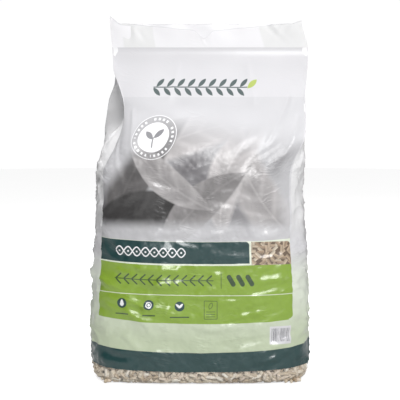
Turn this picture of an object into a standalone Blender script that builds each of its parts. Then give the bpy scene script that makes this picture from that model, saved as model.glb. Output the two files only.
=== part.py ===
"""A standing bag of wood pellets for a cat's litter tray.

The bag is a tube of film with a folded gusset at each side. It is welded across its head,
where a loose flange stands above the weld, and it stands flat on its foot. The printed front
faces -Y, +X is to the right of someone who reads it, and the origin is the middle of the foot,
on the floor. Lengths are in metres.
"""
import math

import bmesh
import bpy
from mathutils import Matrix, Vector

# The flat film tube
PANEL_WIDTH = 0.371        # front and back panels, from edge crease to edge crease
GUSSET_DEPTH = 0.085       # half of the film folded in at each side
FILM_THICKNESS = 0.0003

# The filled bag as it stands
FOOT_SPREAD = 0.049        # how much wider than the flat panel the bag is just above the floor
SHOULDER_SPREAD = 0.025    # the same where the gable begins
NECK_TAKE_IN = 0.006       # how much narrower it is where the gussets are folded in
RIM_TAKE_IN = 0.009        # the same across the corners of the rim
FOOT_ROUNDING = 0.024      # radius of the edge around the foot
BELLY_TOP = 0.120          # below this height the bag keeps its foot's width
SHOULDER_HEIGHT = 0.385    # the panels start to close in here
GABLE_HEIGHT = 0.525       # the gussets are folded fully inwards from here up
NECK_HEIGHT = 0.572        # the narrowest place
WELD_HEIGHT = 0.622        # lower edge of the head weld
WELD_BAND = 0.010
WELD_THICKNESS = 0.0024
MOUTH_THICKNESS = 0.0070   # between the panels at the ends of the two hollows beside the weld
GUSSET_REACH = 0.985       # a full gusset stands out this share of its film's depth
GABLE_POWER = 1.25         # how quickly the panels close above the shoulder
CORNER_POWER = 3.6         # squareness of the filled section
FILM_SWING = -0.008        # how far the filled bag's front has turned to the left
LEAN = 0.0195              # how far the head stands to the right of the foot
LEAN_FROM = 0.390          # the bag stands straight up to this height
LEAN_AT_RIM = 0.011

# The loose flange above the weld
FLANGE_HEIGHT = 0.044
FLANGE_OPENING = 0.013     # between the two layers at the rim
FRONT_RIM_DROP = 0.0145    # the front layer's rim is lower than the back's in the middle
FRONT_DROP_REACH = 0.152   # and comes back up to it this far to either side
GUSSET_RIM_DROP = 0.008    # the rim falls this much from the corners to the gusset creases
LEFT_CORNER_RISE = 0.014
RIGHT_CORNER_RISE = 0.006
CORNER_REACH = 0.018       # how far along the film a raised corner of the rim reaches
NOTCH_DEPTH = 0.0155       # the crease that dips the front rim near its middle
NOTCH_WIDTH = 0.018
NOTCH_OFFSET = -0.004      # from the middle of the front panel

# The pinch that takes the left edge crease of the front inwards above the fill
PINCH_HEIGHT = 0.473
PINCH_DEPTH = 0.036
PINCH_BELOW = 0.072        # how far it reaches down, up and along the film to either side
PINCH_ABOVE = 0.115
PINCH_SPREAD = 0.070
PINCH_TURN = 0.3           # the share of the pinch that goes backwards

# The fill
FILL_HEIGHT = 0.445
MOUND_HEIGHT = 0.026
FILL_GAP = 0.0003          # between the pellets and the film

# Single pellets in front of the lump, where the clear strip shows them
PELLET_DIAMETER = 0.0062
PELLET_LENGTH = 0.018
PELLET_PITCH = 0.034       # along the film, from one pellet to the next in a row
PELLET_ROWS = (0.60, 1.02)  # places up the rounded edge of the foot, 1 where it ends
PELLET_TURN = 2.4          # each pellet is turned by this much more than the last, in radians
PELLET_SIDES = 6
PELLET_CLEARANCE = 0.0020  # spare depth behind the film, for its tighter corners

# The vent hole in the left gusset, read from the dark spot beside the front edge
VENT_DIAMETER = 0.005
VENT_HEIGHT = 0.469
VENT_FROM_BACK = 0.014     # along the film, from the edge crease of the back panel

# Printed bands, from the floor up
CLEAR_STRIP = 0.029        # unprinted film along the foot, where the pellets show
LOW_BAND = 0.038
PALE_BAND = 0.058
GREEN_BAND = 0.109
TITLE_BAND = 0.040
PICTURE_HEIGHT = 0.262

# Printed fields on the front panel
SWATCH_WIDTH = 0.078       # at the right end of the title band
LABEL_WIDTH = 0.041        # white field at the right end of the pale band
LABEL_MARGIN = 0.003       # from the label to the right edge crease
LABEL_HEIGHT = 0.034
LABEL_DROP = 0.009         # from the green band down to the label
RULE_WIDTH = 0.0035        # pale rule between the title band and the green band

# How finely the film is divided
COLUMN_STEP = 0.0235
ROW_STEP = 0.0235
FOOT_ROWS = 3
MOUND_RINGS = 4

GIRTH = 2 * PANEL_WIDTH + 4 * GUSSET_DEPTH
FLANGE_BASE = WELD_HEIGHT + WELD_BAND
RIM_HEIGHT = FLANGE_BASE + FLANGE_HEIGHT
HALF_PANEL = PANEL_WIDTH / 2

# Dents and soft folds in the standing bag: two ends on the film, each as a distance along the
# film from the middle of the front and a height, then the half width and the depth inwards
LEFT_EDGE = -HALF_PANEL
RIGHT_EDGE = HALF_PANEL
BACK_LEFT_EDGE = LEFT_EDGE - 2 * GUSSET_DEPTH
FOLDS = (
    ((BACK_LEFT_EDGE + 0.006, 0.465), (BACK_LEFT_EDGE + 0.004, 0.530), 0.045, -0.014),
    ((LEFT_EDGE + 0.052, 0.395), (LEFT_EDGE + 0.012, 0.450), 0.020, 0.004),
    ((RIGHT_EDGE - 0.010, 0.545), (RIGHT_EDGE - 0.085, 0.420), 0.034, 0.008),
    ((-0.060, 0.520), (-0.100, 0.420), 0.030, 0.004),
    ((0.020, 0.530), (0.035, 0.455), 0.032, 0.003),
    ((-0.140, 0.345), (-0.060, 0.330), 0.022, 0.0025),
    ((0.040, 0.350), (0.150, 0.375), 0.022, 0.0025),
    ((-0.150, 0.090), (-0.030, 0.078), 0.022, 0.0022),
    ((0.060, 0.080), (0.170, 0.096), 0.022, 0.0022),
    ((-0.170, 0.215), (-0.100, 0.200), 0.022, 0.0020),
    ((0.090, 0.240), (0.170, 0.255), 0.022, 0.0020),
    ((GIRTH / 2 - 0.130, 0.420), (GIRTH / 2 - 0.040, 0.520), 0.034, 0.006),
    ((GIRTH / 2 + 0.140, 0.410), (GIRTH / 2 + 0.060, 0.500), 0.034, 0.006),
    ((GIRTH / 2 - 0.100, 0.200), (GIRTH / 2 + 0.090, 0.180), 0.026, 0.003),
)


def smooth(low, high, value):
    """Rises smoothly from 0 at low to 1 at high."""
    share = min(max((value - low) / (high - low), 0.0), 1.0)
    return share * share * (3 - 2 * share)


def mix(a, b, share):
    return a + (b - a) * share


def stations(breaks, step):
    """The breaks, with even steps put between them."""
    result = [breaks[0]]
    for end in breaks[1:]:
        start = result[-1]
        if end - start < step * 0.12:
            continue
        count = max(1, round((end - start) / step))
        result += [mix(start, end, (i + 1) / count) for i in range(count)]
    return result


def section_curve(half_width, half_depth):
    """Points of the filled section, a quarter of it, with the length run from the front middle."""
    points = []
    length = 0.0
    steps = 90
    for i in range(steps + 1):
        angle = i / steps * math.pi / 2
        x = half_width * math.sin(angle) ** (2 / CORNER_POWER)
        y = half_depth * math.cos(angle) ** (2 / CORNER_POWER)
        if points:
            length += math.hypot(x - points[-1][0], y - points[-1][1])
        points.append((x, y, length))
    return points


def on_quarter(points, length):
    """The place at a length along the quarter section."""
    for (x0, y0, l0), (x1, y1, l1) in zip(points, points[1:]):
        if length <= l1:
            share = (length - l0) / (l1 - l0)
            return mix(x0, x1, share), mix(y0, y1, share)
    return points[-1][:2]


def half_depth_for(half_width):
    """The depth at which a filled section of that width takes up the whole girth of the film."""
    low = 0.01
    high = GIRTH / 4
    for _ in range(30):
        middle = (low + high) / 2
        if 4 * section_curve(half_width, middle)[-1][2] < GIRTH:
            low = middle
        else:
            high = middle
    return middle


HALF_DEPTH = half_depth_for((PANEL_WIDTH + FOOT_SPREAD) / 2)


def half_width(z):
    """Half of the bag's width at a height."""
    spread = mix(FOOT_SPREAD, SHOULDER_SPREAD, smooth(BELLY_TOP, SHOULDER_HEIGHT, z))
    spread = mix(spread, -NECK_TAKE_IN, smooth(SHOULDER_HEIGHT, NECK_HEIGHT, z))
    spread = mix(spread, 0.0, smooth(NECK_HEIGHT, WELD_HEIGHT, z))
    return (PANEL_WIDTH + mix(spread, -RIM_TAKE_IN, smooth(FLANGE_BASE, RIM_HEIGHT, z))) / 2


def gable_share(z):
    """How far the panels stand apart above the shoulder, from 1 there to 0 at the weld."""
    share = min(max((z - SHOULDER_HEIGHT) / (WELD_HEIGHT - SHOULDER_HEIGHT), 0.0), 1.0)
    return math.cos(share * math.pi / 2) ** GABLE_POWER


def half_gap(z):
    """Half of the distance between the folded panels at a height."""
    if z <= WELD_HEIGHT:
        return mix(MOUTH_THICKNESS / 2, GUSSET_DEPTH * GUSSET_REACH, gable_share(z))
    if z <= FLANGE_BASE:
        middle = (WELD_HEIGHT + FLANGE_BASE) / 2
        away = abs(z - middle) / (WELD_BAND / 2)
        return mix(WELD_THICKNESS / 2, MOUTH_THICKNESS / 2, smooth(0.55, 1.0, away))
    share = min((z - FLANGE_BASE) / FLANGE_HEIGHT, 1.0)
    return mix(MOUTH_THICKNESS / 2, FLANGE_OPENING / 2, share)


def lean(z):
    """How far the section's middle stands to the right."""
    head = LEAN * smooth(LEAN_FROM, NECK_HEIGHT, z)
    return mix(head, LEAN_AT_RIM, smooth(WELD_HEIGHT, RIM_HEIGHT, z))


def locate(s):
    """Which quarter of the film a distance along it lies in: side, end and distance from its middle."""
    s = (s + GIRTH / 2) % GIRTH - GIRTH / 2
    side = 1.0 if s >= 0 else -1.0
    s = abs(s)
    end = -1.0
    if s > GIRTH / 4:
        end = 1.0
        s = GIRTH / 2 - s
    return side, end, s


def filled_point(s, quarter):
    """A place on the filled section."""
    side, end, along = locate(s)
    x, y = on_quarter(quarter, along * quarter[-1][2] / (GIRTH / 4))
    return side * x, end * y


def folded_point(s, z, inset):
    """A place on the folded section, where each gusset is a V that points inwards."""
    side, end, along = locate(s)
    gap = min(half_gap(z), GUSSET_DEPTH * GUSSET_REACH)
    slope = math.asin(gap / GUSSET_DEPTH)
    corner = HALF_PANEL - inset / math.tan(slope / 2)
    crease = HALF_PANEL - GUSSET_DEPTH * math.cos(slope) - inset / math.sin(slope)
    depth = gap - inset
    if along <= HALF_PANEL:
        return side * corner * along / HALF_PANEL, end * depth
    share = (along - HALF_PANEL) / GUSSET_DEPTH
    return side * mix(corner, crease, share), end * depth * (1 - share)


def section_point(s, z, inset, quarter):
    """A place on the section between the filled shape and the folded one."""
    x, y = filled_point(s + FILM_SWING, quarter)
    folded = smooth(SHOULDER_HEIGHT, GABLE_HEIGHT, z)
    if folded > 0:
        folded_x, folded_y = folded_point(s, z, inset)
        x = mix(x, folded_x, folded)
        y = mix(y, folded_y, folded)
    return x, y


def widening(z):
    """What brings the section between the two shapes to the bag's width at that height."""
    quarter = section_curve(half_width(z), HALF_DEPTH)
    steps = 24
    start = HALF_PANEL * 0.8
    places = [mix(start, GIRTH / 2 - start, i / steps) for i in range(steps + 1)]
    return half_width(z) / max(section_point(s, z, 0.0, quarter)[0] for s in places)


def fold_depth(s, z):
    """How far the dents push the film inwards at a place."""
    depth = 0.0
    for (s0, z0), (s1, z1), width, most in FOLDS:
        away_s = (s - s0 + GIRTH / 2) % GIRTH - GIRTH / 2
        run_s = s1 - s0
        run_z = z1 - z0
        share = (away_s * run_s + (z - z0) * run_z) / (run_s ** 2 + run_z ** 2)
        share = min(max(share, 0.0), 1.0)
        distance = math.hypot(away_s - share * run_s, z - z0 - share * run_z)
        depth += most * math.exp(-((distance / width) ** 2) * 1.6)
    return depth


def pinch_depth(s, z):
    """How far the pinched edge crease stands in at a place."""
    away = abs((s - LEFT_EDGE + GIRTH / 2) % GIRTH - GIRTH / 2) / PINCH_SPREAD
    along = (z - PINCH_HEIGHT) / (PINCH_ABOVE if z > PINCH_HEIGHT else PINCH_BELOW)
    if away >= 1 or abs(along) >= 1:
        return 0.0
    return PINCH_DEPTH * (1 - away) ** 1.4 * math.cos(along * math.pi / 2) ** 1.3


def rim_height(s):
    """Height of the rim above the foot."""
    side, end, along = locate(s)
    rise = LEFT_CORNER_RISE if side < 0 else RIGHT_CORNER_RISE
    height = RIM_HEIGHT + rise * max(0.0, 1 - abs(along - HALF_PANEL) / CORNER_REACH)
    if end < 0:
        height -= FRONT_RIM_DROP * max(0.0, 1 - along / FRONT_DROP_REACH)
        away = abs(side * along - NOTCH_OFFSET) / NOTCH_WIDTH
        height -= NOTCH_DEPTH * max(0.0, 1 - away)
    if along > HALF_PANEL:
        height -= GUSSET_RIM_DROP * (along - HALF_PANEL) / GUSSET_DEPTH
    return height


def film_row(columns, z, inset, foot_inset=0.0, height=None):
    """One row of places round the bag. The inset runs inwards through the wall."""
    narrower = inset + foot_inset
    quarter = section_curve(half_width(z) - narrower, HALF_DEPTH - narrower)
    flat = smooth(GABLE_HEIGHT, WELD_HEIGHT, z)
    widen = widening(z)
    row = []
    for s in columns:
        x, y = section_point(s, z, inset, quarter)
        x *= widen
        side, end, along = locate(s)
        inward = Vector((-side * smooth(HALF_PANEL * 0.75, HALF_PANEL, along),
                         -end * (1 - smooth(HALF_PANEL, HALF_PANEL + GUSSET_DEPTH, along))))
        if inward.length > 0:
            inward.normalize()
        push = fold_depth(s, z) * (1 - flat) * smooth(0.0, FOOT_ROUNDING, z)
        pinch = pinch_depth(s, z)
        x += inward.x * push + pinch + lean(z)
        y += inward.y * push * min(1.0, half_gap(z) / HALF_DEPTH) + pinch * PINCH_TURN
        row.append(Vector((x, y, z if height is None else height)))
    return row


def flange_row(columns, share, inset):
    """One row of the loose flange, from 0 at the weld to 1 at the rim."""
    row = []
    level = mix(FLANGE_BASE, RIM_HEIGHT, share)
    for s in columns:
        z = mix(FLANGE_BASE, rim_height(s), share)
        x, y = folded_point(s, level, inset)
        row.append(Vector((x * half_width(level) / HALF_PANEL + lean(level), y, z)))
    return row


def print_levels():
    """Heights of the printed boundaries, each with the field that lies above it."""
    levels = [(0.0, "clear")]
    z = CLEAR_STRIP
    for field, height in (("low band", LOW_BAND), ("pale band", PALE_BAND), ("green band", GREEN_BAND),
                          ("title band", TITLE_BAND), ("picture", PICTURE_HEIGHT)):
        levels.append((z, field))
        z += height
    levels.append((z, "blank"))
    levels.append((FLANGE_BASE, "clear"))
    return levels


def level_of(name):
    return next(z for z, field in print_levels() if field == name)


def column_places():
    """Distances along the film, from the middle of the back round the front and on to the back."""
    label_right = HALF_PANEL - LABEL_MARGIN
    corner = HALF_PANEL - CORNER_REACH
    front = stations([-HALF_PANEL, -corner, NOTCH_OFFSET]
                     + sorted([HALF_PANEL - SWATCH_WIDTH, label_right - LABEL_WIDTH, label_right, corner])
                     + [HALF_PANEL], COLUMN_STEP)
    gusset = stations([0.0, CORNER_REACH, GUSSET_DEPTH, 2 * GUSSET_DEPTH - CORNER_REACH, 2 * GUSSET_DEPTH],
                      COLUMN_STEP)[1:-1]
    back = stations([HALF_PANEL + 2 * GUSSET_DEPTH, GIRTH / 2 - corner, GIRTH / 2, GIRTH / 2 + corner,
                     GIRTH - HALF_PANEL - 2 * GUSSET_DEPTH], COLUMN_STEP)
    left = [GIRTH - HALF_PANEL - 2 * GUSSET_DEPTH + g for g in gusset]
    return front + [HALF_PANEL + g for g in gusset] + back + left


def row_places():
    """Heights of the rows between the foot and the weld."""
    green_top = level_of("title band")
    pale_top = level_of("green band")
    label_top = pale_top - LABEL_DROP
    breaks = [FOOT_ROUNDING] + [z for z, _ in print_levels()[1:-1]]
    breaks += [green_top + RULE_WIDTH, label_top, label_top - LABEL_HEIGHT]
    breaks += [FILL_HEIGHT, WELD_HEIGHT]
    return stations(sorted(z for z in breaks if FOOT_ROUNDING <= z <= WELD_HEIGHT), ROW_STEP)


def foot_row(columns, inset, share, recess=0.0):
    """A row on the rounded edge of the foot, from 0 at the floor to 1 where the edge ends."""
    angle = share * math.pi / 2
    radius = FOOT_ROUNDING - inset
    height = FOOT_ROUNDING - radius * math.cos(angle)
    foot_inset = radius * (1 - math.sin(angle)) + recess
    return film_row(columns, 0.0, inset, foot_inset, height)


def foot_rows(columns, inset, recess=0.0):
    """The rows that round the edge of the foot, from the floor up."""
    return [foot_row(columns, inset, i / FOOT_ROWS, recess) for i in range(FOOT_ROWS)]


def field_at(s, z):
    """The printed field at a place on the film."""
    field = "clear"
    for low, name in print_levels():
        if z >= low:
            field = name
    _, end, along = locate(s)
    on_panel = along < HALF_PANEL
    if field in ("green band", "title band", "picture") and not on_panel:
        return "blank"
    if end > 0 or not on_panel:
        return field
    s = (s + GIRTH / 2) % GIRTH - GIRTH / 2
    label_right = HALF_PANEL - LABEL_MARGIN
    label_top = level_of("green band") - LABEL_DROP
    if field == "title band" and s > HALF_PANEL - SWATCH_WIDTH:
        return "swatch"
    if field == "title band" and z < level_of("title band") + RULE_WIDTH:
        return "blank"
    if field == "pale band" and label_right - LABEL_WIDTH < s < label_right \
            and label_top - LABEL_HEIGHT < z < label_top:
        return "blank"
    return field


def skin(mesh, rows, fields=None, outward=True):
    """Faces between rows of points, and the field of each."""
    around = len(rows[0])
    for r in range(len(rows) - 1):
        for c in range(around):
            n = (c + 1) % around
            for corners in ([rows[r][c], rows[r][n], rows[r + 1][n]],
                            [rows[r][c], rows[r + 1][n], rows[r + 1][c]]):
                if not outward:
                    corners.reverse()
                face = mesh.faces.new(corners)
                if fields:
                    face.material_index = fields[r][c]


def add_points(mesh, rows):
    return [[mesh.verts.new(p) for p in row] for row in rows]


def close(mesh, ring, facing_up, material=0):
    """A flat face across a ring."""
    face = mesh.faces.new(ring if facing_up else list(reversed(ring)))
    face.material_index = material


def material(name, colour, roughness, alpha=1.0):
    made = bpy.data.materials.new(name)
    made.use_nodes = True
    shader = made.node_tree.nodes["Principled BSDF"]
    shader.inputs["Base Color"].default_value = (*colour, 1.0)
    shader.inputs["Roughness"].default_value = roughness
    shader.inputs["Metallic"].default_value = 0.0
    shader.inputs["Alpha"].default_value = alpha
    made.diffuse_color = (*colour, alpha)
    return made


def finish(name, mesh, materials):
    """Makes the named object from a mesh."""
    data = bpy.data.meshes.new(name)
    mesh.to_mesh(data)
    mesh.free()
    data.shade_smooth()
    data.set_sharp_from_angle(angle=math.radians(50))
    for each in materials:
        data.materials.append(each)
    made = bpy.data.objects.new(name, data)
    bpy.context.scene.collection.objects.link(made)
    return made


FIELD_COLOURS = {
    "clear": (0.60, 0.60, 0.58),
    "blank": (0.80, 0.80, 0.82),
    "low band": (0.049, 0.088, 0.088),
    "pale band": (0.534, 0.593, 0.440),
    "green band": (0.234, 0.347, 0.056),
    "title band": (0.041, 0.088, 0.088),
    "picture": (0.300, 0.295, 0.300),
    "swatch": (0.406, 0.336, 0.252),
}


def film_materials():
    made = []
    for field, colour in FIELD_COLOURS.items():
        alpha = 0.45 if field == "clear" else 1.0
        made.append(material(f"film {field}", colour, 0.32, alpha))
    return made


def build_film(columns):
    """The film: an outer skin, the hollow that holds the pellets and the open mouth of the flange."""
    names = list(FIELD_COLOURS)
    heights = row_places()
    body_heights = heights[:-1] + [WELD_HEIGHT]
    weld_heights = [WELD_HEIGHT + WELD_BAND * share for share in (0.25, 0.75)]
    flange_shares = (0.0, 0.5, 1.0)
    outer = foot_rows(columns, 0.0)
    outer += [film_row(columns, z, 0.0) for z in body_heights + weld_heights]
    outer += [flange_row(columns, share, 0.0) for share in flange_shares]

    mesh = bmesh.new()
    rows = add_points(mesh, outer)
    fields = []
    for r in range(len(rows) - 1):
        middle_z = (outer[r][0].z + outer[r + 1][0].z) / 2
        line = []
        for c in range(len(columns)):
            after = columns[c + 1] if c + 1 < len(columns) else columns[0] + GIRTH
            line.append(names.index(field_at((columns[c] + after) / 2, middle_z)))
        fields.append(line)
    skin(mesh, rows, fields)
    close(mesh, rows[0], facing_up=False)

    inner = foot_rows(columns, FILM_THICKNESS)
    inner += [film_row(columns, z, FILM_THICKNESS) for z in body_heights]
    inner_rows = add_points(mesh, inner)
    skin(mesh, inner_rows, outward=False)
    close(mesh, inner_rows[0], facing_up=True)
    close(mesh, inner_rows[-1], facing_up=False)

    pocket = add_points(mesh, [flange_row(columns, share, FILM_THICKNESS) for share in flange_shares])
    skin(mesh, pocket, outward=False)
    close(mesh, pocket[0], facing_up=True)
    skin(mesh, [rows[-1], pocket[-1]])
    return finish("film_bag", mesh, film_materials())


def pellet_depth():
    """How far the axes of the single pellets lie behind the film, so that their ends clear its curve."""
    return PELLET_CLEARANCE + PELLET_DIAMETER / 2 + PELLET_LENGTH ** 2 / 8 / (FOOT_ROUNDING - PELLET_DIAMETER)


def build_pellets(columns):
    """The fill: one lump that follows the film and mounds up inside the gable.

    Behind the clear strip the lump stands back, and single pellets lie in its face.
    """
    inset = FILM_THICKNESS + FILL_GAP
    recess = pellet_depth()
    places = foot_rows(columns, inset, recess)
    for z in row_places():
        if z <= FILL_HEIGHT + 1e-6:
            places.append(film_row(columns, z, inset, recess if z <= CLEAR_STRIP + 1e-6 else 0.0))
    brim = places[-1]
    middle = sum(brim, Vector()) / len(brim)
    for ring in range(1, MOUND_RINGS):
        share = 1 - ring / MOUND_RINGS
        rise = MOUND_HEIGHT * (1 - share * share)
        places.append([Vector((mix(middle.x, p.x, share), mix(middle.y, p.y, share), p.z + rise))
                       for p in brim])
    mesh = bmesh.new()
    rows = add_points(mesh, places)
    skin(mesh, rows)
    close(mesh, rows[0], facing_up=False)
    top = mesh.verts.new((middle.x, middle.y, brim[0].z + MOUND_HEIGHT))
    last = rows[-1]
    for c in range(len(last)):
        mesh.faces.new([last[c], last[(c + 1) % len(last)], top])
    return finish("wood_pellets", mesh, [material("wood pellets", (0.378, 0.300, 0.200), 0.75)])


def add_single_pellets(lump):
    """Rows of single pellets round the foot, each turned another way and half sunk in the lump."""
    mesh = bmesh.new()
    inset = FILM_THICKNESS + pellet_depth()
    count = round(GIRTH / PELLET_PITCH)
    ahead = PELLET_DIAMETER
    for row, share in enumerate(PELLET_ROWS):
        for i in range(count):
            s = (i + row / len(PELLET_ROWS)) / count * GIRTH
            place, beside = foot_row([s, s + ahead], inset, share)
            higher = foot_row([s], inset, share + ahead / FOOT_ROUNDING)[0]
            along = (beside - place).normalized()
            up = (higher - place).normalized()
            turn = (row * count + i) * PELLET_TURN
            axis = along * math.cos(turn) + up * math.sin(turn)
            matrix = Matrix.Translation(place) @ axis.to_track_quat("Z", "Y").to_matrix().to_4x4()
            bmesh.ops.create_cone(mesh, cap_ends=True, segments=PELLET_SIDES, radius1=PELLET_DIAMETER / 2,
                                  radius2=PELLET_DIAMETER / 2, depth=PELLET_LENGTH, matrix=matrix)
    combine(lump, "single pellets", mesh, "UNION", crossing=True)


def cut_vent(film):
    """A punched hole through the left gusset, above the pellets."""
    s = -HALF_PANEL - 2 * GUSSET_DEPTH + VENT_FROM_BACK
    place, beside = film_row([s, s + 0.004], VENT_HEIGHT, 0.0)
    direction = Vector((beside.y - place.y, place.x - beside.x, 0.0)).normalized()
    mesh = bmesh.new()
    turn = direction.to_track_quat("Z", "Y").to_matrix().to_4x4()
    bmesh.ops.create_cone(mesh, cap_ends=True, segments=12, radius1=VENT_DIAMETER / 2,
                          radius2=VENT_DIAMETER / 2, depth=0.016, matrix=Matrix.Translation(place) @ turn)
    combine(film, "vent cutter", mesh, "DIFFERENCE")


def combine(target, name, mesh, operation, crossing=False):
    """Adds a helper mesh to the target or cuts it away. Crossing allows pellets that touch each other."""
    data = bpy.data.meshes.new(name)
    mesh.to_mesh(data)
    mesh.free()
    helper = bpy.data.objects.new(name, data)
    bpy.context.scene.collection.objects.link(helper)
    helper.hide_render = True
    helper.display_type = "WIRE"
    step = target.modifiers.new(name, "BOOLEAN")
    step.operation = operation
    step.solver = "EXACT"
    step.use_self = crossing
    step.object = helper


def main():
    for old in list(bpy.data.objects):
        bpy.data.objects.remove(old, do_unlink=True)
    columns = column_places()
    film = build_film(columns)
    cut_vent(film)
    lump = build_pellets(columns)
    add_single_pellets(lump)


main()
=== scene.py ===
import math
import random

import bpy
import numpy as np
from mathutils import Matrix, Vector, noise
from mathutils.kdtree import KDTree


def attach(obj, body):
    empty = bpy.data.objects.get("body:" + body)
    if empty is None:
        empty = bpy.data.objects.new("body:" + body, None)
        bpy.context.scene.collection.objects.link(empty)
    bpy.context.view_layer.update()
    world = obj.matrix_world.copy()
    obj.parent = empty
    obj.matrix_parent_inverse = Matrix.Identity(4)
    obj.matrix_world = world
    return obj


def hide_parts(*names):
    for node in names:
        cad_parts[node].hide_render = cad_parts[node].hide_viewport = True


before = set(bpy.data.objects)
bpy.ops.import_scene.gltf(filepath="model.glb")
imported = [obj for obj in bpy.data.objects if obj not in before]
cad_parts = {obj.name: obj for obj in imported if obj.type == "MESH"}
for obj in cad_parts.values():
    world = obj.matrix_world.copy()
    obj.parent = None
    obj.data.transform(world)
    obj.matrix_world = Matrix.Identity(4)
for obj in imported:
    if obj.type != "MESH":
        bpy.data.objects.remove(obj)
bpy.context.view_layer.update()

for leftOver in [o for o in bpy.data.objects if o.type in ("CAMERA", "LIGHT")]:
    bpy.data.objects.remove(leftOver)
print("frame loaded")

bag = {                          # the film tube and how it stands, in metres
    "panel": 0.371,              # front and back, from edge crease to edge crease
    "gusset": 0.085,             # half of the film folded in at each side
    "wall": 0.00025,
    "footSpread": 0.049,         # wider than the flat panel by this, at the foot, shoulder, neck and rim
    "shoulderSpread": 0.025,
    "neckTakeIn": 0.006,
    "rimTakeIn": 0.009,
    "footRound": 0.024,
    "bellyTop": 0.120,
    "shoulderAt": 0.385,
    "gableAt": 0.525,
    "neckAt": 0.572,
    "weldAt": 0.622,
    "weldBand": 0.010,
    "weldThick": 0.0040,
    "mouthThick": 0.0046,
    "gussetReach": 0.985,
    "gablePower": 1.25,
    "cornerPower": 3.6,
    "swing": -0.008,
    "lean": 0.0195,
    "leanFrom": 0.390,
    "leanAtRim": 0.011,
    "fillTop": 0.452,
}
flange = {                       # the loose film above the weld
    "height": 0.044,
    "opening": 0.013,
    "frontDrop": 0.0145,
    "dropReach": 0.152,
    "gussetDrop": 0.008,
    "leftRise": 0.014,
    "rightRise": 0.006,
    "cornerReach": 0.018,
    "notchAt": -0.004,
    "notchWidth": 0.018,
    "notchDepth": 0.0155,
    "creases": ((-0.140, 0.002, 0.0070, -0.0030), (-0.112, -0.030, 0.0050, 0.0012),   # at, slant, width, depth
                (0.120, 0.040, 0.0060, 0.0014), (0.160, -0.032, 0.0060, -0.0016), (-0.002, 0.0, 0.0030, 0.0010)),
}
pinch = {                        # where the left edge crease is taken in above the fill
    "at": 0.473,
    "depth": 0.036,
    "below": 0.072,
    "above": 0.115,
    "spread": 0.070,
    "turn": 0.3,
}
girth = 2 * bag["panel"] + 4 * bag["gusset"]
halfPanel = bag["panel"] / 2
backCrease = halfPanel + 2 * bag["gusset"]
flangeBase = bag["weldAt"] + bag["weldBand"]
rimAt = flangeBase + flange["height"]
footLow = bag["footRound"] * (1 - math.pi / 2)      # the film's level where it meets the floor

dents = (                        # from, to, half width, depth: broad dents in the standing bag
    ((-backCrease + 0.006, 0.480), (-backCrease + 0.004, 0.530), 0.040, -0.015),
    ((-halfPanel + 0.052, 0.395), (-halfPanel + 0.012, 0.450), 0.020, 0.004),
    ((halfPanel - 0.010, 0.545), (halfPanel - 0.085, 0.420), 0.034, 0.008),
    ((-0.060, 0.520), (-0.100, 0.420), 0.030, 0.004),
    ((0.020, 0.530), (0.035, 0.455), 0.032, 0.003),
    ((-0.140, 0.345), (-0.060, 0.330), 0.022, 0.0025),
    ((0.040, 0.350), (0.150, 0.375), 0.022, 0.0025),
    ((-0.150, 0.090), (-0.030, 0.078), 0.022, 0.0022),
    ((0.060, 0.080), (0.170, 0.096), 0.022, 0.0022),
    ((-0.170, 0.215), (-0.100, 0.200), 0.022, 0.0020),
    ((0.090, 0.240), (0.170, 0.255), 0.022, 0.0020),
    ((girth / 2 - 0.130, 0.420), (girth / 2 - 0.040, 0.520), 0.034, 0.006),
    ((girth / 2 + 0.140, 0.410), (girth / 2 + 0.060, 0.500), 0.034, 0.006),
    ((girth / 2 - 0.100, 0.200), (girth / 2 + 0.090, 0.180), 0.026, 0.003),
)
creases = (                      # from, to, half width, height: single sharp creases
    ((0.150, 0.535), (0.118, 0.452), 0.0060, 0.0016),
    ((0.138, 0.452), (0.096, 0.412), 0.0055, 0.0012),
    ((0.172, 0.500), (0.160, 0.430), 0.0050, 0.0016),
    ((-0.150, 0.510), (-0.120, 0.440), 0.0060, 0.0016),
    ((-0.178, 0.452), (-0.150, 0.400), 0.0050, 0.0020),
    ((-0.060, 0.600), (-0.075, 0.540), 0.0070, 0.0012),
    ((0.070, 0.600), (0.084, 0.530), 0.0070, 0.0012),
    ((-0.230, 0.470), (-0.214, 0.400), 0.0050, 0.0018),
    ((0.225, 0.470), (0.240, 0.400), 0.0050, 0.0018),
    ((0.300, 0.480), (0.285, 0.400), 0.0050, 0.0018),
    ((-0.104, 0.261), (-0.051, 0.255), 0.0070, 0.0042),     # on the title band and the green field
    ((-0.104, 0.222), (-0.036, 0.218), 0.0075, 0.0050),
    ((-0.119, 0.207), (-0.070, 0.190), 0.0072, 0.0048),
    ((-0.070, 0.194), (-0.036, 0.191), 0.0070, 0.0044),
    ((-0.126, 0.164), (-0.094, 0.149), 0.0070, 0.0048),
    ((-0.094, 0.149), (-0.051, 0.145), 0.0065, 0.0042),
    ((0.024, 0.248), (0.102, 0.238), 0.0070, 0.0020),
    ((0.084, 0.184), (0.132, 0.197), 0.0060, 0.0012),
    ((0.095, 0.171), (0.149, 0.177), 0.0055, 0.0012),
    ((0.097, 0.156), (0.128, 0.160), 0.0055, 0.0018),
    ((0.076, 0.134), (0.115, 0.138), 0.0055, 0.0018),
    ((-0.128, 0.142), (-0.087, 0.112), 0.0078, 0.0050),     # on the pale field and the band under it
    ((-0.132, 0.093), (-0.109, 0.074), 0.0070, 0.0042),
    ((0.061, 0.112), (0.098, 0.123), 0.0055, 0.0022),
    ((0.106, 0.108), (0.140, 0.127), 0.0055, 0.0022),
    ((0.113, 0.046), (0.149, 0.052), 0.0050, 0.0026),
    ((0.125, 0.061), (0.162, 0.078), 0.0050, 0.0022),
)
vent = {                         # a small punched hole near the back edge of the left gusset
    "at": (-backCrease + 0.022, 0.465),
    "radius": 0.0028,
}
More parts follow.
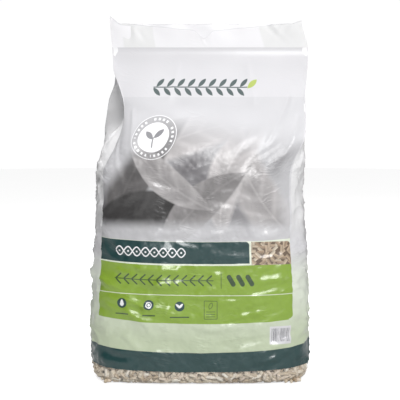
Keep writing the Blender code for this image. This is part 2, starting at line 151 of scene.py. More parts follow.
wrinkles = {                     # short soft wrinkles that hang like smiles between the corners
    "seed": 11,
    "front": 105,
    "around": 190,
    "length": (0.014, 0.058),
    "width": (0.0036, 0.0068),
    "height": (0.0009, 0.0025),
    "smile": 2.1,
}
bumps = {                        # the fill pressing on the film: size and height of the lumps
    "broad": (0.048, 0.0022),
    "lumps": (0.017, 0.0013),
    "crinkleSize": 0.030,
    "crinkle": 0.0046,
    "crinkleSunk": 0.75,
    "smoothFrom": 0.355,         # above here the film is drawn tight and the fill shows no more
    "smoothOver": 0.075,
}


def smoothStep(low, high, value):
    share = np.clip((value - low) / (high - low), 0, 1)
    return share * share * (3 - 2 * share)


def mix(a, b, share):
    return a + (b - a) * share


def halfWidth(z):
    spread = mix(bag["footSpread"], bag["shoulderSpread"], smoothStep(bag["bellyTop"], bag["shoulderAt"], z))
    spread = mix(spread, -bag["neckTakeIn"], smoothStep(bag["shoulderAt"], bag["neckAt"], z))
    spread = mix(spread, 0.0, smoothStep(bag["neckAt"], bag["weldAt"], z))
    spread = mix(spread, -bag["rimTakeIn"], smoothStep(flangeBase, rimAt, z))
    return (bag["panel"] + spread) / 2


def halfGap(z):                                   # between the panels of the folded section
    mouth = bag["mouthThick"] / 2
    if z <= bag["weldAt"]:
        share = min(max((z - bag["shoulderAt"]) / (bag["weldAt"] - bag["shoulderAt"]), 0), 1)
        return mix(mouth, bag["gusset"] * bag["gussetReach"], math.cos(share * math.pi / 2) ** bag["gablePower"])
    if z <= flangeBase:
        away = abs(z - (bag["weldAt"] + flangeBase) / 2) / (bag["weldBand"] / 2)
        return mix(bag["weldThick"] / 2, mouth, smoothStep(0.55, 1, away))
    return mix(mouth, flange["opening"] / 2, min((z - flangeBase) / flange["height"], 1))


def lean(z):
    head = bag["lean"] * smoothStep(bag["leanFrom"], bag["neckAt"], z)
    return mix(head, bag["leanAtRim"], smoothStep(bag["weldAt"], rimAt, z))


def quarterOf(s):                                 # side, front or back, and distance from the panel's middle
    s = (s + girth / 2) % girth - girth / 2
    side = np.where(s >= 0, 1.0, -1.0)
    along = np.abs(s)
    far = along > girth / 4
    return side, np.where(far, 1.0, -1.0), np.where(far, girth / 2 - along, along)


def filledCurve(wide, deep):
    angle = np.linspace(0, math.pi / 2, 91)
    x = wide * np.sin(angle) ** (2 / bag["cornerPower"])
    y = deep * np.abs(np.cos(angle)) ** (2 / bag["cornerPower"])
    return x, y, np.concatenate(([0], np.cumsum(np.hypot(np.diff(x), np.diff(y)))))


def depthForGirth():                              # the filled section takes up the whole girth of the film
    low, high = 0.01, girth / 4
    for _ in range(30):
        middle = (low + high) / 2
        if 4 * filledCurve(halfWidth(0), middle)[2][-1] < girth:
            low = middle
        else:
            high = middle
    return middle


halfDepth = depthForGirth()


def sectionAt(s, z, curve):                       # between the filled section and the folded one
    side, end, along = quarterOf(s + bag["swing"])
    run = along * curve[2][-1] / (girth / 4)
    x = side * np.interp(run, curve[2], curve[0])
    y = end * np.interp(run, curve[2], curve[1])
    folded = smoothStep(bag["shoulderAt"], bag["gableAt"], z)
    side, end, along = quarterOf(s)
    gap = min(halfGap(z), bag["gusset"] * bag["gussetReach"])
    inner = halfPanel - math.sqrt(bag["gusset"] ** 2 - gap ** 2)
    share = np.clip((along - halfPanel) / bag["gusset"], 0, 1)
    foldedX = side * np.where(along <= halfPanel, along, mix(halfPanel, inner, share))
    return mix(x, foldedX, folded), mix(y, end * gap * (1 - share), folded)


def dentDepth(s, z):
    depth = np.zeros_like(s)
    for (s0, z0), (s1, z1), width, most in dents:
        depth += most * np.exp(-((awayFrom(s, z, (s0, z0), (s1, z1)) / width) ** 2) * 1.6)
    return depth


def awayFrom(s, z, start, end):                   # distance on the film from a straight line on it
    ds = (s - start[0] + girth / 2) % girth - girth / 2
    runS, runZ = end[0] - start[0], end[1] - start[1]
    share = np.clip((ds * runS + (z - start[1]) * runZ) / (runS ** 2 + runZ ** 2), 0, 1)
    return np.hypot(ds - share * runS, z - start[1] - share * runZ)


def pinchDepth(s, z):
    away = np.abs((s + halfPanel + girth / 2) % girth - girth / 2) / pinch["spread"]
    along = (z - pinch["at"]) / (pinch["above"] if z > pinch["at"] else pinch["below"])
    if abs(along) >= 1:
        return np.zeros_like(s)
    return pinch["depth"] * np.clip(1 - away, 0, 1) ** 1.4 * math.cos(along * math.pi / 2) ** 1.3


def bodyRow(s, z, footInset=0.0, height=None):
    curve = filledCurve(halfWidth(z) - footInset, halfDepth - footInset)
    sample = np.append(np.linspace(halfPanel * 0.8, girth / 2 - halfPanel * 0.8, 25), (halfPanel, backCrease))
    widest = sectionAt(sample, z, filledCurve(halfWidth(z), halfDepth))[0].max()
    x, y = sectionAt(s, z, curve)
    x = x * halfWidth(z) / widest
    side, end, along = quarterOf(s)
    inX = -side * smoothStep(halfPanel * 0.75, halfPanel, along)
    inY = -end * (1 - smoothStep(halfPanel, halfPanel + bag["gusset"], along))
    size = np.maximum(np.hypot(inX, inY), 1e-9)
    flat = smoothStep(bag["gableAt"], bag["weldAt"], z)
    push = dentDepth(s, z) * (1 - flat) * smoothStep(0, bag["footRound"], z)
    taken = pinchDepth(s, z)
    x = x + inX / size * push + taken + lean(z)
    y = y + inY / size * push * min(1, halfGap(z) / halfDepth) + taken * pinch["turn"]
    return np.stack((x, y, np.full_like(x, z if height is None else height)), -1)


def footRow(s, v):                                # the rounded edge under the bag, and the flat base inside it
    angle = np.clip((v - footLow) / (bag["footRound"] - footLow), 0, 1) * math.pi / 2
    row = bodyRow(s, 0.0, bag["footRound"] * (1 - math.sin(angle)), bag["footRound"] * (1 - math.cos(angle)))
    if v < footLow:
        row[:, :2] *= 1 - (footLow - v) / (halfDepth - bag["footRound"])
    return row


def rimHeight(s):
    side, end, along = quarterOf(s)
    corner = np.clip(1 - np.abs(along - halfPanel) / flange["cornerReach"], 0, 1)
    height = rimAt + np.where(side < 0, flange["leftRise"], flange["rightRise"]) * corner
    notch = np.clip(1 - np.abs(side * along - flange["notchAt"]) / flange["notchWidth"], 0, 1)
    front = flange["frontDrop"] * np.clip(1 - along / flange["dropReach"], 0, 1) + flange["notchDepth"] * notch
    height = height - np.where(end < 0, front, 0)
    return height - flange["gussetDrop"] * np.clip((along - halfPanel) / bag["gusset"], 0, 1)


def flangeRow(s, v):                              # the loose film waves a little more towards its rim
    share = (v - flangeBase) / flange["height"]
    side, end, along = quarterOf(s)
    gap = halfGap(v)
    inner = halfPanel - math.sqrt(bag["gusset"] ** 2 - gap ** 2)
    fold = np.clip((along - halfPanel) / bag["gusset"], 0, 1)
    x = side * np.where(along <= halfPanel, along, mix(halfPanel, inner, fold)) * halfWidth(v) / halfPanel
    y = end * gap * (1 - fold)
    u = side * along
    wave = 0.0013 * np.sin(u * 34 + np.where(end < 0, -0.6, 3.7)) + 0.0008 * np.sin(u * 83 - 2)
    tuck = 0.0026 * np.exp(-((u - flange["notchAt"]) / 0.012) ** 2) * (end < 0)
    for at, slope, width, depth in flange["creases"]:
        away = (u - at - slope * share) / width
        tuck = tuck + depth * (end < 0) * (np.exp(-away ** 2) - 0.6 * np.exp(-(away + 1.5) ** 2))
    flare = 0.0040 * smoothStep(0.7, 1, along / halfPanel) * (1 - fold) * end
    y = y + (wave * (1 - fold) + tuck + flare) * smoothStep(0, 1, share)
    return np.stack((x + lean(v), y, mix(flangeBase, rimHeight(s), share)), -1)


def filmRow(s, v):
    if v < bag["footRound"]:
        return footRow(s, v)
    return bodyRow(s, v) if v < flangeBase - 1e-9 else flangeRow(s, v)


def steps(places, counts):
    result = [places[0]]
    for start, end, count in zip(places, places[1:], counts):
        result += [mix(start, end, (i + 1) / count) for i in range(count)]
    return np.array(result)


def outwardOf(places):                            # unit normals of a grid that closes on itself sideways
    along = np.empty_like(places)
    along[:, 1:-1] = places[:, 2:] - places[:, :-2]
    along[:, 0] = along[:, -1] = places[:, 1] - places[:, -2]
    up = np.gradient(places, axis=0)
    normal = np.cross(along, up)
    return normal / np.maximum(np.linalg.norm(normal, axis=2, keepdims=True), 1e-12)


def wrinkleHeight(s, v):
    rng = random.Random(wrinkles["seed"])
    height = np.zeros_like(s)
    for i in range(wrinkles["front"] + wrinkles["around"]):
        front = i < wrinkles["front"]
        s0 = rng.uniform(-0.185, 0.185) if front else rng.uniform(0.20, girth - 0.20)
        v0 = rng.uniform(0.035, 0.445) if rng.random() < 0.35 else rng.uniform(0.050, 0.290)
        side, end, along = quarterOf(np.array(s0))
        slope = wrinkles["smile"] * float(side * along) * (1 if end < 0 else -1) + rng.gauss(0, 0.14)
        length = rng.uniform(*wrinkles["length"])
        width = rng.uniform(*wrinkles["width"])
        tall = rng.uniform(*wrinkles["height"]) * rng.choice((1, 1, -0.8))
        ds = (s - s0 + girth / 2) % girth - girth / 2
        dv = v - v0
        turn = math.atan(slope)
        run = ds * math.cos(turn) + dv * math.sin(turn)
        across = dv * math.cos(turn) - ds * math.sin(turn) - run * run * 2.5
        fade = np.clip(1 - (run / length) ** 2, 0, 1) ** 1.5
        ridge = np.exp(-(across / width) ** 2) - 0.55 * np.exp(-((across + 1.5 * width) / (1.4 * width)) ** 2)
        height += tall * fade * ridge
    return height


def creaseHeight(s, v):
    height = np.zeros_like(s)
    for start, end, width, tall in creases:
        height += tall * np.exp(-(awayFrom(s, v, start, end) / width) ** 1.5)
    return height


def lumpHeight(places):                           # noise in space, so that it closes round the bag
    height = np.zeros(places.shape[:2])
    for size, tall in (bumps["broad"], bumps["lumps"]):
        scaled = places / size
        height += tall * np.array([[noise.noise(Vector(p)) for p in row] for row in scaled])
    return height


def crinkleHeight(places, s):                     # the gussets are crushed between the corners
    along = np.abs((s + girth / 2) % girth - girth / 2)
    beside = smoothStep(halfPanel - 0.014, halfPanel + 0.012, along)
    beside *= 1 - smoothStep(backCrease, backCrease + 0.04, along)
    ridges = np.clip(1 - np.abs(noiseAt(places, bumps["crinkleSize"])) * 2.4, 0, 1) ** 3
    return beside * bumps["crinkle"] * (ridges - bumps["crinkleSunk"])


def makeFilm():
    g = bag["gusset"]
    columns = steps((-girth / 2, -backCrease, -halfPanel - g, -halfPanel, halfPanel, halfPanel + g, backCrease,
                     girth / 2), (30, 16, 16, 116, 16, 16, 30))
    levels = steps((footLow - 0.058, footLow, bag["footRound"], bag["weldAt"], flangeBase, rimAt), (4, 8, 150, 4, 10))
    places = np.array([filmRow(columns, v) for v in levels])
    s, v = np.meshgrid(columns, levels)
    filled = smoothStep(0.004, 0.030, places[:, :, 2])
    filled *= 1 - smoothStep(bag["fillTop"] - 0.04, bag["fillTop"] + 0.03, v)
    loose = smoothStep(0.004, 0.030, places[:, :, 2]) * (1 - smoothStep(0.585, bag["weldAt"], v))
    lumpy = filled * (1 - smoothStep(bumps["smoothFrom"], bumps["smoothFrom"] + bumps["smoothOver"], v))
    height = lumpHeight(places) * lumpy + wrinkleHeight(s, v) * filled + creaseHeight(s, v) * loose
    height += crinkleHeight(places, s) * filled
    height += (noiseAt(places, 0.060) * 0.0018) * loose * smoothStep(0.40, 0.46, v)
    places += outwardOf(places) * height[:, :, None]
    places[:, :, 2] = np.maximum(places[:, :, 2], 0.0)

    bpy.ops.object.select_all(action="DESELECT")
    bpy.ops.mesh.primitive_grid_add(x_subdivisions=len(columns) - 1, y_subdivisions=len(levels) - 1, size=1,
                                    calc_uvs=True)
    film = bpy.context.object
    film.name = film.data.name = "filmBag"
    mesh = film.data
    flat = np.empty(len(mesh.vertices) * 3)
    mesh.vertices.foreach_get("co", flat)
    flat = flat.reshape(-1, 3)
    column = np.rint((flat[:, 0] + 0.5) * (len(columns) - 1)).astype(int)
    row = np.rint((flat[:, 1] + 0.5) * (len(levels) - 1)).astype(int)
    corner = np.empty(len(mesh.loops), int)
    mesh.loops.foreach_get("vertex_index", corner)
    onFilm = np.stack((columns[column] + girth / 2, levels[row]), -1)      # the print is placed on the film in metres
    mesh.uv_layers[0].data.foreach_set("uv", onFilm[corner].astype(np.float32).ravel())
    mesh.vertices.foreach_set("co", places[row, column].astype(np.float32).ravel())
    mesh.update()

    bpy.ops.object.mode_set(mode="EDIT")
    bpy.ops.mesh.select_all(action="SELECT")
    bpy.ops.mesh.remove_doubles(threshold=0.00001)
    bpy.ops.mesh.select_all(action="DESELECT")
    bpy.ops.object.mode_set(mode="OBJECT")
    ringSize = np.abs(places[0, :, :2]).max(0) + 0.001                     # the ring round the middle of the base
    for edge in mesh.edges:
        ends = [mesh.vertices[i].co for i in edge.vertices]
        edge.select = all(p.z < 1e-6 and abs(p.x) < ringSize[0] and abs(p.y) < ringSize[1] for p in ends)
    bpy.ops.object.mode_set(mode="EDIT")
    bpy.ops.mesh.edge_face_add()
    bpy.ops.mesh.select_all(action="SELECT")
    bpy.ops.mesh.normals_make_consistent(inside=False)
    bpy.ops.object.mode_set(mode="OBJECT")
    foremost = min(mesh.polygons, key=lambda face: face.center.y)
    if foremost.normal.y > 0:                          # the tube is open at its head, so outside can be misjudged
        mesh.flip_normals()
    punchVent(film, Vector(places[np.abs(levels - vent["at"][1]).argmin(), np.abs(columns - vent["at"][0]).argmin()]))
    wall = film.modifiers.new("wall", "SOLIDIFY")
    wall.thickness = bag["wall"]
    wall.offset = -1
    bpy.ops.object.modifier_apply(modifier="wall")
    bpy.ops.object.shade_smooth_by_angle(angle=math.radians(48))
    return film, columns, levels, places


def selectNear(mesh, place, reach):               # only the points within reach of a place
    for vertex in mesh.vertices:
        vertex.select = (vertex.co - place).length < reach
    for edge in mesh.edges:
        edge.select = all(mesh.vertices[i].select for i in edge.vertices)
    for face in mesh.polygons:
        face.select = all(mesh.vertices[i].select for i in face.vertices)


def punchVent(film, place):                       # the grid's nearest point is opened to a round hole
    reach = vent["radius"] * 1.5
    bpy.ops.object.mode_set(mode="EDIT")
    bpy.ops.mesh.select_mode(type="VERT")
    bpy.ops.mesh.select_all(action="DESELECT")
    bpy.ops.object.mode_set(mode="OBJECT")
    selectNear(film.data, place, 0.0001)
    bpy.ops.object.mode_set(mode="EDIT")
    bpy.ops.mesh.bevel(affect="VERTICES", offset=vent["radius"] * 1.2, offset_type="OFFSET", segments=1)
    bpy.ops.object.mode_set(mode="OBJECT")
    selectNear(film.data, place, reach)
    bpy.ops.object.mode_set(mode="EDIT")
    bpy.ops.mesh.delete(type="ONLY_FACE")
    bpy.ops.object.mode_set(mode="OBJECT")
    selectNear(film.data, place, reach)
    bpy.ops.object.mode_set(mode="EDIT")
    bpy.ops.mesh.subdivide(number_cuts=2)
    bpy.ops.object.mode_set(mode="OBJECT")
    selectNear(film.data, place, reach)
    bpy.ops.object.mode_set(mode="EDIT")
    bpy.ops.transform.tosphere(value=1)
    bpy.ops.mesh.select_all(action="DESELECT")
    bpy.ops.object.mode_set(mode="OBJECT")


def noiseAt(places, size):
    return np.array([[noise.noise(Vector(p)) for p in row] for row in places / size + 7.3])


film, filmColumns, filmLevels, filmPlaces = makeFilm()
print("film:", len(film.data.polygons), "faces")

pellets = {
    "seed": 5,
    "radius": 0.0031,
    "length": (0.011, 0.020),
    "layers": (0.0040, 0.0085, 0.0128),      # how deep behind the film each layer lies
    "pitch": (0.0150, 0.0108),               # along and up the film, from rod to rod in a layer
    "top": 0.050,                            # the rods go up to here behind the print
    "under": 420,
    "core": 0.0125,                          # the fill behind the rods lies this deep
    "coreAbove": 0.0070,                     # and this deep where there are none
}
filmNormals = outwardOf(filmPlaces)


def onFilmAt(s, v):                               # place, outward direction, sideways and up on the film
    c = np.clip(np.searchsorted(filmColumns, s) - 1, 0, len(filmColumns) - 2)
    r = np.clip(np.searchsorted(filmLevels, v) - 1, 0, len(filmLevels) - 2)
    place = Vector(filmPlaces[r, c])
    outward = Vector(filmNormals[r, c])
    sideways = Vector(filmPlaces[r, c + 1] - filmPlaces[r, c]).normalized()
    return place, outward, sideways, outward.cross(sideways)


def makeRod():
    bpy.ops.object.select_all(action="DESELECT")
    bpy.ops.mesh.primitive_cylinder_add(vertices=8, radius=pellets["radius"], depth=1, end_fill_type="NGON")
    rod = bpy.context.object
    bpy.ops.object.mode_set(mode="EDIT")
    bpy.ops.mesh.select_all(action="SELECT")
    bpy.ops.transform.resize(value=(1, 1, 0.015), center_override=(0, 0, 0))
    bpy.ops.object.mode_set(mode="OBJECT")
    worn = rod.modifiers.new("worn ends", "BEVEL")
    worn.width = 0.0007
    worn.segments = 1
    worn.limit_method = "ANGLE"
    worn.angle_limit = math.radians(60)
    bpy.ops.object.modifier_apply(modifier="worn ends")
    bpy.ops.object.shade_smooth_by_angle(angle=math.radians(50))
    return rod


def placeRod(rod, centre, axis, length, rng):
    copy = bpy.data.objects.new("rod", rod.data.copy())
    turn = axis.to_track_quat("Z", "Y").to_matrix().to_4x4()
    roll = Matrix.Rotation(rng.uniform(0, math.pi), 4, "Z")
    stretch = Matrix.Diagonal((rng.uniform(0.9, 1.06), rng.uniform(0.9, 1.06), length / 0.015, 1))
    copy.data.transform(Matrix.Translation(centre) @ turn @ roll @ stretch)
    tone = copy.data.attributes.new("tone", "FLOAT", "POINT")
    tone.data.foreach_set("value", [rng.random()] * len(copy.data.vertices))
    bpy.context.scene.collection.objects.link(copy)
    return copy


def keptInside(centre, axis, length, tree):       # a rod's two ends stay behind the film
    for _ in range(3):
        for end in (-1, 1):
            near, index, _ = tree.find(centre + axis * (end * length * 0.47))
            outward = Vector(filmNormals.reshape(-1, 3)[index])
            depth = (near - centre - axis * (end * length * 0.47)).dot(outward)
            centre = centre - outward * max(0.0, pellets["radius"] * 1.12 + 0.0004 - depth)
    return centre


def makeRods():
    rng = random.Random(pellets["seed"])
    rod = makeRod()
    tree = KDTree(filmPlaces[:, :, 0].size)
    for i, place in enumerate(filmPlaces.reshape(-1, 3)):
        tree.insert(place, i)
    tree.balance()
    copies = []
    stepS, stepV = pellets["pitch"]
    across, up = round(girth / stepS), round((pellets["top"] - footLow) / stepV)
    for depth in pellets["layers"]:
        for i in range(across * up):
            s = ((i % across + (i // across % 2) * 0.5 + rng.uniform(-0.3, 0.3)) / across - 0.5) * girth
            v = footLow + (i // across + 0.5 + rng.uniform(-0.3, 0.3)) * stepV
            place, outward, sideways, upward = onFilmAt(s, v)
            angle = rng.gauss(0, 0.5) if place.z < 0.010 else rng.uniform(0, math.pi)
            axis = sideways * math.cos(angle) + upward * math.sin(angle) + outward * rng.uniform(-0.15, 0.15)
            length = rng.uniform(*pellets["length"])
            centre = keptInside(place - outward * depth, axis.normalized(), length, tree)
            copies.append(placeRod(rod, centre, axis.normalized(), length, rng))
    for i in range(pellets["under"]):
        x = rng.uniform(-1, 1) * (halfWidth(0) - bag["footRound"])
        y = rng.uniform(-1, 1) * (halfDepth - bag["footRound"])
        angle = rng.uniform(0, math.pi)
        centre = Vector((x, y, rng.uniform(1.25, 2.2) * pellets["radius"]))
        axis = Vector((math.cos(angle), math.sin(angle), 0))
        copies.append(placeRod(rod, centre, axis, rng.uniform(*pellets["length"]), rng))
    bpy.data.objects.remove(rod)
    bpy.ops.object.select_all(action="DESELECT")
    for copy in copies:
        copy.select_set(True)
    bpy.context.view_layer.objects.active = copies[0]
    bpy.ops.object.join()
    rods = bpy.context.object
    rods.name = rods.data.name = "pelletRods"
    return rods


def makeCore():                                   # the fill behind the rods: rows of the film, drawn in
    rows = [r for r, v in enumerate(filmLevels) if footLow - 1e-6 <= v <= bag["fillTop"]]
    rows = [r for r in rows if filmLevels[r] < 0.08 or r % 2 == 0]
    depth = mix(pellets["core"], pellets["coreAbove"], smoothStep(0.052, 0.066, filmLevels[rows]))
    places = filmPlaces[rows][:, ::2] - filmNormals[rows][:, ::2] * depth[:, None, None]
    places[:, :, 2] = np.maximum(places[:, :, 2], pellets["core"] * 0.6)
    brim = places[-1].copy()
    middle = brim.mean(0)
    for share in (0.8, 0.55, 0.3, 0.1):                      # the heap above the brim
        ring = mix(middle, brim, share)
        ring[:, 2] += 0.026 * (1 - share * share)
        places = np.concatenate((places, ring[None]))
    bpy.ops.object.select_all(action="DESELECT")
    bpy.ops.mesh.primitive_grid_add(x_subdivisions=places.shape[1] - 1, y_subdivisions=places.shape[0] - 1, size=1)
    core = bpy.context.object
    core.name = core.data.name = "pelletCore"
    mesh = core.data
    flat = np.empty(len(mesh.vertices) * 3)
    mesh.vertices.foreach_get("co", flat)
    flat = flat.reshape(-1, 3)
    column = np.rint((flat[:, 0] + 0.5) * (places.shape[1] - 1)).astype(int)
    row = np.rint((flat[:, 1] + 0.5) * (places.shape[0] - 1)).astype(int)
    mesh.vertices.foreach_set("co", places[row, column].astype(np.float32).ravel())
    bpy.ops.object.mode_set(mode="EDIT")
    bpy.ops.mesh.select_all(action="SELECT")
    bpy.ops.mesh.remove_doubles(threshold=0.00001)
    bpy.ops.mesh.select_all(action="DESELECT")
    bpy.ops.mesh.select_non_manifold(extend=False, use_boundary=True, use_wire=False, use_multi_face=False,
                                     use_non_contiguous=False, use_verts=False)
    bpy.ops.mesh.fill(use_beauty=False)
    bpy.ops.mesh.select_all(action="SELECT")
    bpy.ops.mesh.normals_make_consistent(inside=False)
    bpy.ops.object.mode_set(mode="OBJECT")
    bpy.ops.object.shade_smooth_by_angle(angle=math.radians(60))
    return core


rods = makeRods()
core = makeCore()
print("pellets:", len(rods.data.polygons), "faces in the rods")


class Wire:                                       # a socket that Python sums can be written with
    def __init__(self, tree, socket):
        self.tree = tree
        self.socket = socket

    def node(self, kind, settings=None, values=None, output=0):
        made = self.tree.nodes.new("ShaderNode" + kind)
        for name, value in (settings or {}).items():
            if name == "stops":
                fillRamp(made.color_ramp, value)
            else:
                setattr(made, name, value)
        for name, value in (values or {}).items():
            if isinstance(value, Wire):
                self.tree.links.new(value.socket, made.inputs[name])
            else:
                made.inputs[name].default_value = value
        return Wire(self.tree, made.outputs[output])

    def math(self, operation, *others):
        return self.node("Math", {"operation": operation}, dict(enumerate((self,) + others)))

    def __add__(self, other):
        return self.math("ADD", other)

    def __mul__(self, other):
        return self.math("MULTIPLY", other)

    def __sub__(self, other):
        return self.math("SUBTRACT", other)

    def __rsub__(self, other):
        return self.node("Math", {"operation": "SUBTRACT"}, {0: other, 1: self})

    def __truediv__(self, other):
        return self.math("DIVIDE", other)

    def __pow__(self, other):
        return self.math("POWER", other)

    def __neg__(self):
        return self * -1

    def __abs__(self):
        return self.math("ABSOLUTE")

    __radd__ = __add__
    __rmul__ = __mul__


def fillRamp(ramp, stops):
    while len(ramp.elements) < len(stops):
        ramp.elements.new(0.5)
    for element, (at, colour) in zip(ramp.elements, stops):
        element.position = at
        element.color = (*colour, 1)


def over(below, above, mask):                     # one colour laid over another where the mask is 1
    return mask.node("Mix", {"data_type": "RGBA"}, {0: mask, 6: asColour(below), 7: asColour(above)}, 2)


def asColour(value):
    return value if isinstance(value, Wire) else (*value, 1)


def passing(value, soft=0.0004):                  # 0 before the value passes zero, 1 after
    return value.node("MapRange", {"clamp": True}, {"Value": value, "From Min": -soft, "From Max": soft})


def between(value, low, high):
    return value.node("MapRange", {"clamp": True, "interpolation_type": "SMOOTHSTEP"},
                      {"Value": value, "From Min": low, "From Max": high})


def most(a, b):
    return a.math("MAXIMUM", b)


def least(a, b):
    return a.math("MINIMUM", b)


def turned(u, v, at, angle):                      # along and across a line that leans by an angle
    du, dv = u - at[0], v - at[1]
    return du * math.cos(angle) + dv * math.sin(angle), dv * math.cos(angle) - du * math.sin(angle)


def rectangle(u, v, low, high, rounding=0.0):     # distances: negative inside
    du = abs(u - (low[0] + high[0]) / 2) - ((high[0] - low[0]) / 2 - rounding)
    dv = abs(v - (low[1] + high[1]) / 2) - ((high[1] - low[1]) / 2 - rounding)
    if not rounding:
        return most(du, dv)
    outer = (most(du, 0) ** 2 + most(dv, 0) ** 2).math("SQRT")
    return outer + least(most(du, dv), 0) - rounding


def disc(u, v, at, radius):
    return ((u - at[0]) ** 2 + (v - at[1]) ** 2).math("SQRT") - radius


def capsule(u, v, at, halfLength, radius, angle):
    along, across = turned(u, v, at, angle)
    past = most(abs(along) - halfLength, 0)
    return (past * past + across * across).math("SQRT") - radius


def leaf(u, v, at, halfLength, halfBreadth, angle):
    along, across = turned(u, v, at, angle)
    bow = (halfLength ** 2 + halfBreadth ** 2) / (2 * halfBreadth)
    return (along * along + (abs(across) + (bow - halfBreadth)) ** 2).math("SQRT") - bow


def inside(distance, soft=0.0004):
    return passing(-distance, soft)


def outline(distance, halfWide):
    return passing(halfWide - abs(distance))


inks = {                         # linear colours
    "white": (0.652, 0.646, 0.668),
    "bright": (0.900, 0.895, 0.915),
    "gussetWhite": (0.735, 0.732, 0.740),
    # painted light: a lighter white for the upper gussets, where the film turns up towards the light
    "gussetPaintedLight": (0.870, 0.866, 0.876),
    "paleLow": (0.500, 0.570, 0.400),
    "paleHigh": (0.690, 0.735, 0.635),
    "dark": (0.010, 0.047, 0.048),
    "green": (0.235, 0.368, 0.036),
    "greenDark": (0.038, 0.075, 0.030),
    "rule": (0.760, 0.810, 0.680),
    "slate": (0.090, 0.120, 0.120),
    "leaf": (0.430, 0.520, 0.130),
    "grey": (0.260, 0.260, 0.275),
}
layout = {                       # the print on the flat film: from the panel's middle, and up from the floor
    "left": -0.187,
    "right": 0.183,
    "strip": (0.0277, -0.0029, 0.150),       # height, slope and bend of each boundary
    "low": (0.0637, -0.0036, 0.264),
    "greenFoot": (0.1185, -0.0122, 0.254),
    "divider": (0.1717, -0.0093, 0.103),
    "greenTop": (0.2273, -0.0095, 0.149),
    "titleFoot": (0.2303, -0.0065, 0.149),
    "titleTop": (0.2709, -0.0056, 0.170),
    "titleRight": 0.1010,
    "swatchLeft": 0.1045,
    "swatchFoot": 0.2281,
    "swatchTop": 0.2716,
    "corner": 0.008,
    "greenCorner": 0.1337,
    "titleCorner": 0.2641,
    "pictureFoot": 0.2700,
    "pictureTop": 0.5375,
    "printTop": 0.6315,
}


def above(u, v, name):
    height, slope, bend = layout[name]
    return v - (u * slope + u * u * bend + height)


def pelletPattern(u, v, size, angleSeed):         # small rods lying every way, drawn flat
    spot = u.node("CombineXYZ", {}, {0: u / size, 1: v / size, 2: angleSeed})
    shade = None
    for layer, shift in enumerate((0.0, 0.37, 0.71)):
        moved = spot.node("VectorMath", {"operation": "ADD"}, {0: spot, 1: (shift, shift * 1.7, layer * 3.1)})
        cell = moved.node("TexVoronoi", {"voronoi_dimensions": "2D"},
                          {"Vector": moved, "Scale": 1.0, "Randomness": 0.9})
        position = Wire(cell.tree, cell.socket.node.outputs["Position"])
        tint = Wire(cell.tree, cell.socket.node.outputs["Color"])
        away = moved.node("VectorMath", {"operation": "SUBTRACT"}, {0: moved, 1: position})
        parts = tint.node("SeparateXYZ", {}, {0: tint})
        second = Wire(tint.tree, parts.socket.node.outputs[1])
        spin = away.node("VectorRotate", {"rotation_type": "Z_AXIS"}, {"Vector": away, "Angle": parts * 6.283})
        split = spin.node("SeparateXYZ", {}, {0: spin})
        across = Wire(split.tree, split.socket.node.outputs[1])
        body = most(abs(split) * 0.42, abs(across)) - 0.19
        mask = inside(body, 0.02)
        colour = second.node("ValToRGB", {"stops": ((0.0, (0.410, 0.295, 0.200)), (0.5, (0.550, 0.430, 0.310)),
                                                    (1.0, (0.700, 0.610, 0.480)))}, {0: second})
        side = passing(across, 0.17) * 0.45 + 0.60
        colour = colour.node("Mix", {"data_type": "RGBA", "blend_type": "MULTIPLY"},
                             {0: 1.0, 6: colour, 7: grey(side)}, 2)
        shade = over((0.150, 0.105, 0.072) if shade is None else shade, colour, mask)
    return shade


def grey(value):
    return value.node("CombineColor", {}, {0: value, 1: value, 2: value})


def softPicture(u, v):                            # out-of-focus leaves in greys and browns
    wide = layout["right"] - layout["left"]
    spot = u.node("CombineXYZ", {}, {0: u, 1: v, 2: 0.0})
    cloud = spot.node("TexNoise", {"noise_dimensions": "2D"},
                      {"Vector": spot, "Scale": 9.0, "Detail": 2.0, "Roughness": 0.5})
    across = (u - layout["left"]) / wide
    up = (v - layout["pictureFoot"]) / (layout["pictureTop"] - layout["pictureFoot"])
    tone = cloud.node("ValToRGB", {"stops": ((0.34, (0.140, 0.133, 0.142)), (0.50, (0.330, 0.325, 0.337)),
                                             (0.66, (0.500, 0.500, 0.518)))}, {0: cloud - (0.45 - across) * 0.30})
    leaves = (                                    # place, half length, half breadth, turn, light, focus
        ((0.130, 0.340), 0.150, 0.040, 2.20, 0.39, 0.0060),
        ((-0.020, 0.470), 0.120, 0.036, 0.35, 0.44, 0.0050),
        ((0.060, 0.405), 0.130, 0.034, 1.30, 0.46, 0.0036),
        ((-0.120, 0.400), 0.135, 0.040, 1.05, 0.130, 0.0034),
        ((-0.120, 0.320), 0.130, 0.042, 0.30, 0.046, 0.0026),
        ((0.000, 0.335), 0.115, 0.034, 0.75, 0.240, 0.0018),
        ((-0.060, 0.385), 0.105, 0.028, 2.45, 0.350, 0.0016),
    )
    for at, halfLength, halfBreadth, angle, light, focus in leaves:
        along, side = turned(u, v, at, angle)
        bend = side + along * along * 1.4
        bow = (halfLength ** 2 + halfBreadth ** 2) / (2 * halfBreadth)
        edge = (along * along + (abs(bend) + (bow - halfBreadth)) ** 2).math("SQRT") - bow
        mask = inside(edge, focus)
        veins = ((along * 150 - abs(bend) * 170).math("SINE") * 0.5 + 0.5) ** 3
        rib = inside(abs(bend) - 0.0010, 0.0026)
        glow = (abs(bend) / halfBreadth) * 0.35 + 0.75
        shade = (glow + veins * 0.18 + rib * 0.30) * light
        warm = shade.node("CombineColor", {}, {0: shade * 1.03, 1: shade * 0.985, 2: shade * 0.99})
        tone = over(tone, warm, mask)
    fade = most(between(across, 0.90, 1.0) * 0.6, between(up + across * 0.25, 0.72, 1.02))
    fade = most(fade, between(0.175 - up, 0.0, 0.096) * 0.80)
    fade = most(fade, between(up - across * 1.6, 0.24, 0.40) * 0.9)
    return over(tone, (0.604, 0.601, 0.621), fade)


